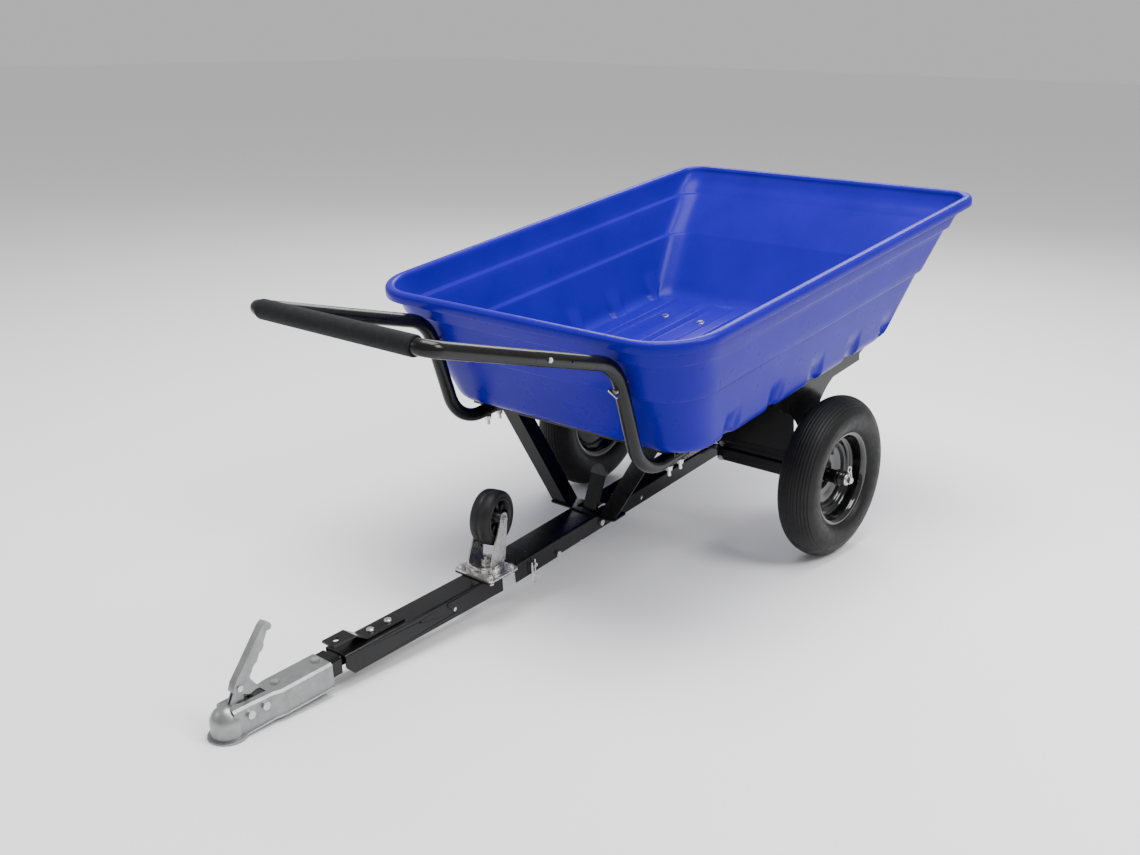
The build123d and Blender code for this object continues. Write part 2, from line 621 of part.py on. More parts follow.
def make_rim():
    """Dished steel rim: bead seats and flanges outside, a cone down to the hub inside."""
    w, seat, flange, t = RIM_HALF_WIDTH_X, RIM_BEAD_RADIUS, RIM_FLANGE_RADIUS, RIM_WALL
    inner = [(-w, flange), (-w, seat - t), (-14, seat - t), (-10, seat - 14)]
    outer = [(-10 + t, seat - 14 + t), (-14 + t, seat), (-w + t, seat), (-w + t, flange)]
    band = revolve_x(inner + [(-x, r) for x, r in inner[::-1]] + [(-x, r) for x, r in outer[::-1]] + outer)
    disc = revolve_x([(-16, HUB_RADIUS), (-13, HUB_RADIUS), (-13, 40), (-4, 62), (2, seat - 14),
                      (-1.5, seat - 14), (-7, 63), (-16, 41)])
    rim = band + disc
    return rim - rod_z(6.0, 60, seat + 1, 4, 0)


def make_hub():
    """Hub tube with a bearing bush at each end, turning on the axle rod."""
    hub = rod_x(HUB_RADIUS, -HUB_IN, HUB_OUT)
    hub += rod_x(20.0, HUB_OUT - 12, HUB_OUT - 6)
    return hub - rod_x(BEARING_RADIUS, -HUB_IN - 1, HUB_OUT + 1)


def make_bearings():
    ring = rod_x(BEARING_RADIUS, 0, BEARING_WIDTH) - rod_x(AXLE_RADIUS + RUNNING_GAP, -1, BEARING_WIDTH + 1)
    return Compound(children=[Pos(-HUB_IN, 0, 0) * ring, Pos(HUB_OUT - BEARING_WIDTH, 0, 0) * ring])


def make_valve():
    """Valve stem through the rim's well, with its cap."""
    stem = rod_z(4.0, 58, 76) + rod_z(5.5, 76, 84)
    return Pos(4, 0, 0) * stem


def place_wheel(part, side):
    """Puts a part of the wheel on its axle; the wheel's outer face is at its own +X."""
    part = part if side > 0 else mirror(part, Plane.YZ)
    return CHASSIS * Pos(side * WHEEL_X, 0, 0) * part


# ---- tongue, in its own frame: origin on the pivot -----------------------------------------------
def make_pivot_barrel():
    barrel = rod_x(9.0, -CHANNEL_HALF_WIDTH + SHEET + FREE_GAP, CHANNEL_HALF_WIDTH - SHEET - FREE_GAP)
    return barrel - rod_x(PIVOT_BOLT_RADIUS + RUNNING_GAP, -50, 50)


def make_tongue_tube():
    w, z0, z1, t = TONGUE_TUBE_WIDTH / 2, TONGUE_TUBE_BOTTOM, TONGUE_TUBE_TOP, 2.5
    tube = block(-w, w, COUPLER_REAR - 60, 4, z0, z1)
    tube = fillet(tube.edges().filter_by(Axis.Y), 3.0)
    tube -= block(-w + t, w - t, COUPLER_REAR - 61, 5, z0 + t, z1 - t)
    tube -= rod_x(9.0, -w - 1, w + 1)
    return tube - rod_x(LOCK_PIN_RADIUS + RUNNING_GAP, -50, 50, LOCK_PIN_Y, LOCK_PIN_Z)


def make_sleeve():
    """Folded sleeve over the tongue tube, open below, with chamfered lower front corners."""
    w, low, high = SLEEVE_HALF_WIDTH, SLEEVE_BOTTOM, SLEEVE_TOP
    sleeve = block(-w, w, SLEEVE_FRONT, SLEEVE_REAR, low, high)
    sleeve = fillet(sleeve.edges().filter_by(Axis.Y).group_by(Axis.Z)[-1], 4.0)
    sleeve -= block(-w + SHEET, w - SHEET, SLEEVE_FRONT - 1, SLEEVE_REAR + 1, low - 1, high - SHEET)
    front = SLEEVE_FRONT - 1
    sleeve -= plate_x([(front, -4), (front, low - 1), (front + 21, low - 1)], -w - 1, w + 1)
    sleeve -= rod_x(LOCK_PIN_RADIUS, -50, 50, LOCK_HOLE_Y, LOCK_HOLE_Z)
    for y, z in ((-418, 8), (-341, 14)):
        sleeve -= rod_x(2.0, -50, 50, y, z)
    return drill_top(sleeve, HITCH_BOLTS, 4.0)


def drill_top(part, places, radius):
    for x, y in places:
        part -= rod_z(radius, 10, 60, x, y)
    return part


def make_hitch_plate():
    """Stepped flat bar bolted on the sleeve, with a hole for a tow pin in its raised end."""
    w, t = HITCH_BAR
    low, high = SLEEVE_TOP, HITCH_TOP - t
    profile = [(-448, low), (-448, low + t), (-549, low + t), (-577, high + t), (-631, high + t), (-631, high),
               (-575, high), (-546, low)]
    plate = plate_x(profile, -w / 2, w / 2)
    plate -= rod_z(HITCH_HOLE_RADIUS, 30, 60, 0, HITCH_HOLE_Y)
    return drill_top(plate, HITCH_BOLTS, 4.0)


def make_hitch_bolts():
    base = SLEEVE_TOP + HITCH_BAR[1]
    bolts = []
    for x, y in HITCH_BOLTS:
        head = fillet(rod_z(8.5, base, base + 5, x, y).edges().group_by(Axis.Z)[-1], 3.5)
        bolts.append(head + rod_z(4.0, TONGUE_TUBE_TOP, base, x, y))
    return Compound(children=bolts)


# ---- ball coupler ---------------------------------------------------------------------------------
def coupler_shape(grow, bottom, cut, height=None):
    """Neck and box without the dome: sections across the coupler, with cut top corners, joined along it."""
    neck, box = NECK_HALF_WIDTH + grow, COUPLER_HALF_WIDTH + grow
    sections = []
    for y, half, top in ((COUPLER_BALL_Y, neck, NECK_TOP), (COUPLER_BALL_Y + 20, neck, NECK_TOP),
                         (COUPLER_KINK[0], neck, COUPLER_TOP + 1), (COUPLER_KINK[1], box, COUPLER_TOP),
                         (COUPLER_REAR, box, COUPLER_TOP)):
        top = top + grow if height is None else bottom + height
        outline = [(-half, bottom), (-half, top - cut), (-half + cut, top), (half - cut, top),
                   (half, top - cut), (half, bottom)]
        sections.append(Pos(0, y, 0) * (Plane.XZ * make_face(Polyline(*outline, close=True))))
    return loft(sections, ruled=True)


def make_coupler_body():
    """Pressed-steel coupler: a box round the spigot, a narrower neck, a domed socket, and a lip all round."""
    t, top, low = COUPLER_SHEET, COUPLER_TOP, COUPLER_BOTTOM
    ball_y, r = COUPLER_BALL_Y, COUPLER_HALF_WIDTH
    dome = Pos(0, ball_y, 0) * Sphere(r) & block(-r, r, ball_y - r, ball_y + r, 0, r)
    outer = coupler_shape(0.0, low, 4.5) + rod_z(r, low, 0, 0, ball_y) + dome
    lip, thick = COUPLER_LIP
    outer += coupler_shape(lip, low, 0.5, thick) + rod_z(COUPLER_FLANGE_RADIUS, low, low + thick, 0, ball_y)
    inner = coupler_shape(-t, low - 1, 1.0)
    inner += block(-COUPLER_HALF_WIDTH + t, COUPLER_HALF_WIDTH - t, -720, COUPLER_REAR + 1, low - 1, top - t)
    inner += rod_z(r - t, low - 1, 0, 0, ball_y) + Pos(0, ball_y, 0) * Sphere(r - t)
    slot = LEVER_HALF_WIDTH + 1
    body = outer - inner - block(-slot, slot, -850, -788, 0, top + 20)
    ear_z, ear_y = LEVER_PIVOT_Z, LEVER_PIVOT_Y
    profile = [(-866, 24), (-834, 24), (ear_y + 8, ear_z), (ear_y + 6, ear_z + 6), (ear_y, ear_z + 8),
               (ear_y - 6, ear_z + 6), (ear_y - 8, ear_z)]
    outside = LEVER_HALF_WIDTH - LEVER_SHEET - RUNNING_GAP * 6
    ears = plate_x(profile, outside - 3, outside) + plate_x(profile, -outside, -outside + 3)
    body += ears - inner
    body -= rod_x(4.0, -40, 40, LEVER_PIVOT_Y, LEVER_PIVOT_Z)
    for y, z in COUPLER_SIDE_BOLTS:
        body -= rod_x(5.0, -50, 50, y, z)
    return drill_top(body, COUPLER_TOP_BOLTS, 5.0)


def make_spigot():
    """Block on the tongue tube's end that fills the coupler's box."""
    w, z1 = COUPLER_HALF_WIDTH - COUPLER_SHEET, COUPLER_TOP - COUPLER_SHEET
    spigot = block(-w, w, COUPLER_REAR - 60, SLEEVE_FRONT - 8, -12, z1)
    tube = TONGUE_TUBE_WIDTH / 2
    hole = fillet(block(-tube, tube, COUPLER_REAR - 61, SLEEVE_FRONT, TONGUE_TUBE_BOTTOM, TONGUE_TUBE_TOP)
                  .edges().filter_by(Axis.Y), 3.0)
    return drill_top(spigot - hole, COUPLER_TOP_BOLTS, 5.0)


def make_coupler_bolts():
    """Two bolts across the coupler's neck and two down through its top."""
    bolts = []
    for y, z in COUPLER_SIDE_BOLTS:
        w = NECK_HALF_WIDTH
        bolts.append(rod_x(5.0, -w, w, y, z) + hexagon_x(15, w, w + 6, y, z) + hexagon_x(15, -w - 7, -w, y, z))
    for x, y in COUPLER_TOP_BOLTS:
        top = COUPLER_TOP
        bolts.append(hexagon_z(15, top, top + 6, x, y) + rod_z(5.0, TONGUE_TUBE_TOP, top, x, y))
    return Compound(children=bolts)


def lever_frame():
    return Location((0, LEVER_PIVOT_Y, LEVER_PIVOT_Z), (LEVER_RISE, 0, 0))


def make_coupler_lever():
    """Hand lever of folded sheet: two sides joined along the front edge, finger notches along the rear edge."""
    w, t = LEVER_HALF_WIDTH, LEVER_SHEET
    front = [(-12, 10), (4, 14.6), (116, 10.7), (127, 8)]
    hook = [(128, -5), (123, -11.5), (117, -11), (112, -4.5)]
    notches = [(103, -7), (92, -8.5), (85, -12.5), (76, -13), (70, -10), (63, -11), (55, -13), (48, -10.5),
               (40, -9.5), (34, -11.5), (27, -11), (22, -14)]
    cam = [(17, -28), (13.6, -42.6), (-6, -29)]
    lever = plate_x(front + hook + notches + cam, -w, w)
    lever -= plate_x([(-20, 6), (4, 12), (116, 8.2), (124, 5), (124, -60), (-20, -60)], -w + t, w - t)
    return lever - rod_x(4.0 + RUNNING_GAP, -w - 1, w + 1)


def make_coupler_rivets():
    """The lever's headed rivet and the jaw's plain one."""
    out = LEVER_HALF_WIDTH + FREE_GAP
    lever = rod_x(4.0, -out, out) + rod_x(6.0, out, out + 2.5) + rod_x(6.0, -out - 2.5, -out)
    half = NECK_HALF_WIDTH - COUPLER_SHEET
    jaw = rod_x(JAW_PIN_RADIUS, -half, half, JAW_PIVOT_Y, JAW_PIVOT_Z)
    return Compound(children=[Pos(0, LEVER_PIVOT_Y, LEVER_PIVOT_Z) * lever, jaw])


def make_ball_jaw():
    """Jaw that closes on the ball from behind when the lever goes down."""
    jaw = block(-5, 5, -830, -812, -16, 16)
    jaw -= rod_x(JAW_PIN_RADIUS + RUNNING_GAP, -20, 20, JAW_PIVOT_Y, JAW_PIVOT_Z)
    return jaw


# ---- caster on the tongue ------------------------------------------------------------------------
def make_mount_plate():
    w, length, _ = CASTER_PLATE
    plate = rounded_plate(w - 4, length + 4, SLEEVE_TOP, MOUNT_TOP, 6, CASTER_Y)
    plate -= rod_z(7.0, 0, 60, 0, CASTER_Y)
    return drill_top(plate, PLATE_BOLTS, 4.0)


def make_caster_plate():
    w, length, _ = CASTER_PLATE
    plate = rounded_plate(w, length, MOUNT_TOP, PLATE_TOP, 9, CASTER_Y)
    plate += rod_z(37.0, PLATE_TOP, PLATE_TOP + 5, 0, CASTER_Y)
    plate += rod_z(KING_RADIUS, PLATE_TOP, RACE_TOP + 4 + FREE_GAP, 0, CASTER_Y)
    return drill_top(plate, PLATE_BOLTS, 4.0)


def make_plate_bolts():
    bolts = []
    for x, y in PLATE_BOLTS:
        washer = rod_z(8.5, PLATE_TOP, PLATE_TOP + WASHER, x, y)
        nut = hexagon_z(13, PLATE_TOP + WASHER, PLATE_TOP + 7, x, y)
        bolts.append(rod_z(4.0, SLEEVE_TOP - 9, PLATE_TOP + 9, x, y) + washer + nut
                     + hexagon_z(13, SLEEVE_TOP - 6.5, SLEEVE_TOP, x, y))
    return Compound(children=bolts)


def make_king_nut():
    z = RACE_TOP + 4 + FREE_GAP
    return hexagon_z(19, z, z + 8, 0, CASTER_Y) + rod_z(5.0, z + 8, z + 13, 0, CASTER_Y)


def caster_turned():
    """The tongue's frame with the fork's turn about the swivel."""
    return TONGUE * Pos(0, CASTER_Y, 0) * Rot(0, 0, CASTER_TURN) * Pos(0, -CASTER_Y, 0)


def make_caster_fork():
    """Swivel fork: race ring, base and two legs, broad at the base, that rise to the wheel's bolt."""
    base0 = PLATE_TOP + 5 + FREE_GAP
    x0 = CASTER_WHEEL_WIDTH / 2 + 3
    x1 = x0 + 3.5
    ring = rod_z(39.0, base0, RACE_TOP, 0, CASTER_Y)
    base = rod_z(35.0, RACE_TOP, RACE_TOP + 4, 0, CASTER_Y)
    base += block(-x1, x1, CASTER_Y - 26, CASTER_Y + 30, RACE_TOP, RACE_TOP + 4)
    outline = [(CASTER_Y - 26, RACE_TOP), (CASTER_Y + 30, RACE_TOP), (CASTER_Y + 33, RACE_TOP + 10),
               (CASTER_AXLE_Y + 15, CASTER_AXLE_Z), (CASTER_AXLE_Y - 15, CASTER_AXLE_Z),
               (CASTER_Y - 28, RACE_TOP + 12)]
    leg = plate_x(outline, x0, x1) + rod_x(15.0, x0, x1, CASTER_AXLE_Y, CASTER_AXLE_Z)
    fork = ring + base + leg + mirror(leg, Plane.YZ)
    fork -= rod_z(KING_RADIUS + RUNNING_GAP, 0, 100, 0, CASTER_Y)
    return fork - rod_x(4.0, -50, 50, CASTER_AXLE_Y, CASTER_AXLE_Z)


def make_caster_axle():
    x1 = CASTER_WHEEL_WIDTH / 2 + 6.5
    axle = rod_x(4.0, -x1, x1) + hexagon_x(13, x1, x1 + 5.5) + hexagon_x(13, -x1 - 6.5, -x1)
    return Pos(0, CASTER_AXLE_Y, CASTER_AXLE_Z) * axle


def make_caster_tyre():
    half, r = CASTER_WHEEL_WIDTH / 2, CASTER_WHEEL_RADIUS
    tyre = fillet(rod_x(r, -half, half).edges(), 9.0) - rod_x(46.0, -half - 1, half + 1)
    return Pos(0, CASTER_AXLE_Y, CASTER_AXLE_Z) * tyre


def make_caster_core():
    half = CASTER_WHEEL_WIDTH / 2
    core = rod_x(46.0, -half + 1, half - 1) - rod_x(38.0, -half, -6) - rod_x(38.0, 6, half)
    core += rod_x(13.0, -half - 2, half + 2)
    core -= rod_x(4.0 + RUNNING_GAP, -half - 3, half + 3)
    return Pos(0, CASTER_AXLE_Y, CASTER_AXLE_Z) * core


# ---- lock pin -------------------------------------------------------------------------------------
def make_lock_pin():
    half = CHANNEL_HALF_WIDTH
    pin = rod_x(LOCK_PIN_RADIUS, -half - 8, half + 12, LOCK_PIN_Y, LOCK_PIN_Z)
    pin = chamfer(pin.edges(), 1.2)
    return pin - rod_z(LOCK_CLIP_WIRE + 0.1, -20, 40, half + 7, LOCK_PIN_Y)


def make_lock_clip():
    """Wire clip hanging through the end of the lock pin."""
    clip = Rot(180, 0, 0) * make_clip(LOCK_CLIP_WIRE, 14.0, 12.0)
    return Pos(CHANNEL_HALF_WIDTH + 7, LOCK_PIN_Y, LOCK_PIN_Z) * clip


# ---- the nodes ------------------------------------------------------------------------------------
def all_nodes():
    nodes = {
        "tub": TUB * make_tub(),
        "floor_bolts": TUB * make_floor_bolts(),
        "floor_washers": TUB * make_floor_washers(),
        "front_rail": TUB * make_floor_rail(-522, -440, 300, FRONT_RAIL_BOTTOM, front_rail_holes()),
        "rear_rail": TUB * make_floor_rail(160, 204, 298, REAR_RAIL_BOTTOM, rear_rail_holes()),
        "cross_panel": TUB * make_cross_panel(),
        "strut_foot": TUB * make_strut_foot(),
        "push_handle": TUB * make_push_handle(),
        "handle_grip": TUB * make_handle_grip(),
        "handle_screws": TUB * make_handle_screws(),
        "clamp_bolts": TUB * make_clamp_bolts(),
        "stay_wing_bolts": TUB * make_stay_bolts(),
        "drawbar_channel": CHASSIS * make_channel(),
        "axle_rod": CHASSIS * make_axle(),
        "beam_bolts": CHASSIS * make_beam_bolts(),
        "axle_washers": CHASSIS * make_axle_washers(),
        "axle_clips": CHASSIS * make_axle_clips(),
        "tongue_pivot_bolt": CHASSIS * make_pivot_bolt(),
        "latch_bolt": CHASSIS * make_latch_bolt(),
        "latch_lever": CHASSIS * latch_frame() * make_latch_lever(),
        "latch_cap": CHASSIS * latch_frame() * make_latch_cap(),
        "tongue_tube": TONGUE * make_tongue_tube(),
        "pivot_barrel": TONGUE * make_pivot_barrel(),
        "tongue_sleeve": TONGUE * make_sleeve(),
        "hitch_plate": TONGUE * make_hitch_plate(),
        "hitch_bolts": TONGUE * make_hitch_bolts(),
        "coupler_spigot": TONGUE * make_spigot(),
        "coupler_body": TONGUE * make_coupler_body(),
        "coupler_bolts": TONGUE * make_coupler_bolts(),
        "coupler_rivets": TONGUE * make_coupler_rivets(),
        "ball_jaw": TONGUE * make_ball_jaw(),
        "coupler_lever": TONGUE * lever_frame() * make_coupler_lever(),
        "caster_mount_plate": TONGUE * make_mount_plate(),
        "caster_swivel_plate": TONGUE * make_caster_plate(),
        "caster_plate_bolts": TONGUE * make_plate_bolts(),
        "caster_fork": caster_turned() * make_caster_fork(),
        "caster_king_nut": TONGUE * make_king_nut(),
        "caster_axle_bolt": caster_turned() * make_caster_axle(),
        "caster_tyre": caster_turned() * make_caster_tyre(),
        "caster_core": caster_turned() * make_caster_core(),
        "lock_pin": TONGUE * make_lock_pin(),
        "lock_clip": TONGUE * make_lock_clip(),
    }
    for name, side in SIDES.items():
        nodes[f"{name}_side_frame"] = TUB * make_side_frame(side)
        nodes[f"{name}_strut"] = TUB * make_strut(side)
        nodes[f"{name}_handle_tube"] = TUB * make_handle_tube(side)
        nodes[f"{name}_axle_beam"] = CHASSIS * make_beam(side)
        nodes[f"{name}_tyre"] = place_wheel(make_tyre(), side)
        nodes[f"{name}_rim"] = place_wheel(make_rim(), side)
        nodes[f"{name}_hub"] = place_wheel(make_hub(), side)
        nodes[f"{name}_bearings"] = place_wheel(make_bearings(), side)
        nodes[f"{name}_valve"] = place_wheel(make_valve(), side)
    return nodes


def front_rail_holes():
    clamps = [(side * HANDLE_X, y) for side in SIDES.values() for y in CLAMP_BOLT_Y]
    return clamps + [place for place in FLOOR_BOLTS if place[1] < 0]


def rear_rail_holes():
    return [place for place in FLOOR_BOLTS if place[1] > 0]


os.makedirs("parts", exist_ok=True)
for node, shape in all_nodes().items():
    export_step(shape, f"parts/{node}.step")
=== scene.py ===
import json
import math

import bmesh
import bpy
from mathutils import Matrix, Vector
from mathutils.geometry import delaunay_2d_cdt


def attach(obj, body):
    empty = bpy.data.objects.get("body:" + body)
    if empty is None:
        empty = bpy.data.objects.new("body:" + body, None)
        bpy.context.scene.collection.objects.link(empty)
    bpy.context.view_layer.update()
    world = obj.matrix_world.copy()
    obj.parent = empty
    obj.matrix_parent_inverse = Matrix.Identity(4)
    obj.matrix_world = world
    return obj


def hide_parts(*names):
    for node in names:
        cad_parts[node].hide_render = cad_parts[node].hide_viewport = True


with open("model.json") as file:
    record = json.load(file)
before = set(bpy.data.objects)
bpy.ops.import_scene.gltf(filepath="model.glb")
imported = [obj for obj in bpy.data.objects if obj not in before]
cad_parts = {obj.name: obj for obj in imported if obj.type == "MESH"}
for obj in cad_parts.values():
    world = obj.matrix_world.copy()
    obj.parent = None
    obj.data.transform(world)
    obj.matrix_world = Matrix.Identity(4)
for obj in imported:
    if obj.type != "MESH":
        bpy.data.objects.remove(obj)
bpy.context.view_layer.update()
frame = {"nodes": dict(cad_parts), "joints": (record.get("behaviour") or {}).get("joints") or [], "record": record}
NODES = frame["nodes"]
JOINTS = {joint["name"]: joint for joint in frame["joints"]}

MM = 0.001
TUB_PITCH = math.radians(8.1)
CHANNEL_PITCH = math.radians(7.2)
TONGUE_PITCH = math.radians(4.2)
AXLE = Vector(JOINTS["tub_tip"]["pos_m"])


def pitched(origin, angle):
    """A frame at a point of the cart, sloping nose down by an angle, that takes millimetres."""
    return Matrix.Translation(origin) @ Matrix.Rotation(angle, 4, "X") @ Matrix.Scale(MM, 4)


TUB = pitched(AXLE, TUB_PITCH)
CHASSIS = pitched(AXLE, CHANNEL_PITCH)


# ---- materials --------------------------------------------------------------------------------
def node_of(tree, kind, **settings):
    node = tree.nodes.new(kind)
    for name, value in settings.items():
        if hasattr(node, name):
            setattr(node, name, value)
        else:
            node.inputs[name.replace("_", " ")].default_value = value
    return node


def noise(tree, scale, detail=3.0, rough=0.55):
    """A noise in the object's own metres."""
    place = node_of(tree, "ShaderNodeTexCoord")
    texture = node_of(tree, "ShaderNodeTexNoise", Scale=scale, Detail=detail, Roughness=rough)
    tree.links.new(place.outputs["Object"], texture.inputs["Vector"])
    return texture.outputs["Fac"]


def ramp(tree, value, low, high, start=0.3, end=0.7):
    mapped = node_of(tree, "ShaderNodeMapRange")
    tree.links.new(value, mapped.inputs["Value"])
    for name, number in (("From Min", start), ("From Max", end), ("To Min", low), ("To Max", high)):
        mapped.inputs[name].default_value = number
    return mapped.outputs["Result"]


COLOUR_A, COLOUR_B, COLOUR_RESULT = 6, 7, 2   # a mix node's sockets for colours


def tint(tree, value, low, high):
    mix = node_of(tree, "ShaderNodeMix", data_type="RGBA")
    tree.links.new(value, mix.inputs["Factor"])
    mix.inputs[COLOUR_A].default_value = (*low, 1)
    mix.inputs[COLOUR_B].default_value = (*high, 1)
    return mix.outputs[COLOUR_RESULT]


def material(name, low, high, rough, metal=0.0, grain=400.0, grain_depth=0.0, patch=9.0, coat=0.0,
             coat_rough=0.1, specular=0.5, sheen=0.0, dust=None):
    """Surface with patchy colour between two tones, patchy gloss, a fine grain, and specks of dust."""
    made = bpy.data.materials.new(name)
    made.use_nodes = True
    tree = made.node_tree
    shader = tree.nodes["Principled BSDF"]
    patches = ramp(tree, noise(tree, patch), 0, 1)
    colour = tint(tree, patches, low, high)
    if dust:
        specks = ramp(tree, noise(tree, 55.0, 6.0, 0.7), 0, 0.35, 0.5, 0.75)
        mix = node_of(tree, "ShaderNodeMix", data_type="RGBA")
        tree.links.new(specks, mix.inputs["Factor"])
        tree.links.new(colour, mix.inputs[COLOUR_A])
        mix.inputs[COLOUR_B].default_value = (*dust, 1)
        colour = mix.outputs[COLOUR_RESULT]
    tree.links.new(colour, shader.inputs["Base Color"])
    gloss = ramp(tree, noise(tree, patch * 3.7, 5.0), rough[0], rough[1])
    tree.links.new(gloss, shader.inputs["Roughness"])
    shader.inputs["Metallic"].default_value = metal
    shader.inputs["Specular IOR Level"].default_value = specular
    shader.inputs["Coat Weight"].default_value = coat
    shader.inputs["Coat Roughness"].default_value = coat_rough
    shader.inputs["Sheen Weight"].default_value = sheen
    if grain_depth:
        bump = node_of(tree, "ShaderNodeBump")
        bump.inputs["Strength"].default_value = 1.0
        bump.inputs["Distance"].default_value = grain_depth
        tree.links.new(noise(tree, grain, 4.0), bump.inputs["Height"])
        tree.links.new(bump.outputs["Normal"], shader.inputs["Normal"])
    return made


MATERIALS = {
    "tub_plastic": material(
        "poly_blue", (0.0095, 0.0005, 0.26), (0.0130, 0.0008, 0.31), (0.26, 0.33), grain=140,
        grain_depth=0.00002, patch=6, specular=0.11),
    "black_paint": material(
        "black_powder_coat", (0.0032, 0.0032, 0.0036), (0.0058, 0.0058, 0.0062), (0.16, 0.28),
        grain=620, grain_depth=0.00007, patch=14, coat=0.07, coat_rough=0.06, specular=0.24,
        dust=(0.009, 0.009, 0.009)),
    "zinc": material(
        "zinc_plate", (0.46, 0.455, 0.44), (0.70, 0.69, 0.67), (0.20, 0.40), metal=1.0, grain=420,
        grain_depth=0.00008, patch=70),
    "coupler_silver": material(
        "silver_coupler", (0.23, 0.232, 0.236), (0.31, 0.312, 0.316), (0.28, 0.42), metal=0.72,
        grain=520, grain_depth=0.00014, patch=45),
    "tyre_rubber": material(
        "tyre_rubber", (0.0040, 0.0040, 0.0044), (0.0080, 0.0080, 0.0084), (0.40, 0.56), grain=900,
        grain_depth=0.00016, patch=18, specular=0.22, dust=(0.015, 0.0145, 0.014)),
    "rim_paint": material(
        "rim_gloss", (0.0028, 0.0028, 0.0030), (0.0050, 0.0050, 0.0054), (0.06, 0.13), grain=240,
        grain_depth=0.00005, patch=20, coat=0.4, coat_rough=0.04, specular=0.4),
    "grip_foam": material(
        "foam_grip", (0.006, 0.0063, 0.0072), (0.012, 0.0123, 0.014), (0.70, 0.90), grain=1300,
        grain_depth=0.0005, patch=90, specular=0.2, sheen=0.03),
    "vinyl_cap": material(
        "vinyl_cap", (0.030, 0.031, 0.035), (0.050, 0.051, 0.056), (0.36, 0.5), grain=700,
        grain_depth=0.0001, patch=50, specular=0.35),
    "caster_rubber": material(
        "caster_rubber", (0.0055, 0.0055, 0.0060), (0.0120, 0.0120, 0.0128), (0.42, 0.60),
        grain=1000, grain_depth=0.0002, patch=60, specular=0.26, dust=(0.024, 0.0235, 0.023)),
    "core_plastic": material(
        "core_plastic", (0.006, 0.006, 0.0065), (0.011, 0.011, 0.0115), (0.28, 0.42), grain=800,
        grain_depth=0.0001, patch=50, specular=0.4),
    "bearing_steel": material(
        "bearing_steel", (0.35, 0.35, 0.35), (0.5, 0.5, 0.5), (0.25, 0.4), metal=1.0, grain=600,
        grain_depth=0.00004, patch=70),
}
SLOT_OF = {part["node"]: part["material_slot"] for part in frame["record"]["subparts"]}


# ---- CAD nodes that stay: welded, softly bevelled, given their material -------------------------
WELD_DISTANCE = 0.00002
BEVEL_ANGLE = math.radians(32)


def soften(piece, width):
    weld = piece.modifiers.new("weld", "WELD")
    weld.merge_threshold = WELD_DISTANCE
    bevel = piece.modifiers.new("bevel", "BEVEL")
    bevel.limit_method = "ANGLE"
    bevel.angle_limit = BEVEL_ANGLE
    bevel.width = width * MM
    bevel.segments = 2
    bevel.use_clamp_overlap = True
    normals = piece.modifiers.new("normals", "WEIGHTED_NORMAL")
    normals.weight = 60


def dress_node(name, width):
    node = NODES[name]
    node.data.materials.clear()
    node.data.materials.append(MATERIALS[SLOT_OF[name]])
    if "custom_normal" in node.data.attributes:
        node.data.attributes.remove(node.data.attributes["custom_normal"])
    node.data.shade_smooth()
    soften(node, width)


# ---- building new pieces ------------------------------------------------------------------------
def piece_from(name, mesh_data, body, slot, replaced):
    """Turns a bmesh in row coordinates into a piece that rides a body and stands for CAD nodes."""
    mesh = bpy.data.meshes.new(name)
    bmesh.ops.remove_doubles(mesh_data, verts=mesh_data.verts, dist=WELD_DISTANCE)
    bmesh.ops.recalc_face_normals(mesh_data, faces=mesh_data.faces)
    mesh_data.to_mesh(mesh)
    mesh_data.free()
    mesh.shade_smooth()
    mesh.materials.append(MATERIALS[slot])
    piece = bpy.data.objects.new(name, mesh)
    bpy.context.scene.collection.objects.link(piece)
    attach(piece, body)
    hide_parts(*replaced)


def revolve(profile, place, steps):
    """Turns an outline of (x, radius) points about the X axis of a placed frame."""
    made = bmesh.new()
    rings = []
    for step in range(steps):
        turn = 2 * math.pi * step / steps
        rings.append([made.verts.new(place @ Vector((x, r * math.cos(turn), r * math.sin(turn))))
                      for x, r in profile])
    count = len(profile)
    for step in range(steps):
        here, there = rings[step], rings[(step + 1) % steps]
        for i in range(count):
            j = (i + 1) % count
            made.faces.new((here[i], here[j], there[j], there[i]))
    return made


# ---- tub ------------------------------------------------------------------------------------------
WALL = 4.0
FLOOR_Z = 255.0
LEDGES = (410.0, 501.0)
RIM_Z = 553.6
# each stage: a low and a high section of the outside, each a height and then the half width, the front,
# the rear, the front corners' radius and the rear corners' radius
STAGES = (
    (FLOOR_Z, (362, -548, 322, 90, 60), LEDGES[0], (394, -606, 455, 105, 62)),
    (LEDGES[0], (404, -618, 455, 110, 64), LEDGES[1], (420, -641, 553, 118, 64)),
    (LEDGES[1], (430, -654, 553, 122, 64), RIM_Z, (437, -667, 604, 126, 60)),
)
RIM_LINE = (443.5, -676.5, 612.3, 125, 59)
SCALLOPS = (-405.0, -228.0, -57.0, 114.0, 284.0)
SCALLOP_HALF = 31.0
SCALLOP_DEPTH = 10.0
SCALLOP_TOP, SCALLOP_FADE = 340, 66
SIDE_STEPS, END_STEPS, CORNER_STEPS = 150, 24, 12
# over each ledge's rounded step: the height from the ledge, and the share of the way to the next stage
LEDGE_ROUND = ((-4.5, 0.0), (-2.6, 0.05), (-1.3, 0.2), (-0.5, 0.5), (0.2, 0.8), (1.5, 0.95), (4.0, 1.0))
FLOOR_ROUND = 26.0
# the heights of the loops between the floor's round and the first ledge, and between the two ledges
FLUTED_HEIGHTS = (290, 297, 304, 311, 318, 326, 334, 342, 350, 380, 400)
UPPER_HEIGHTS = (430, 455, 480)
TOP_HEIGHT = 520


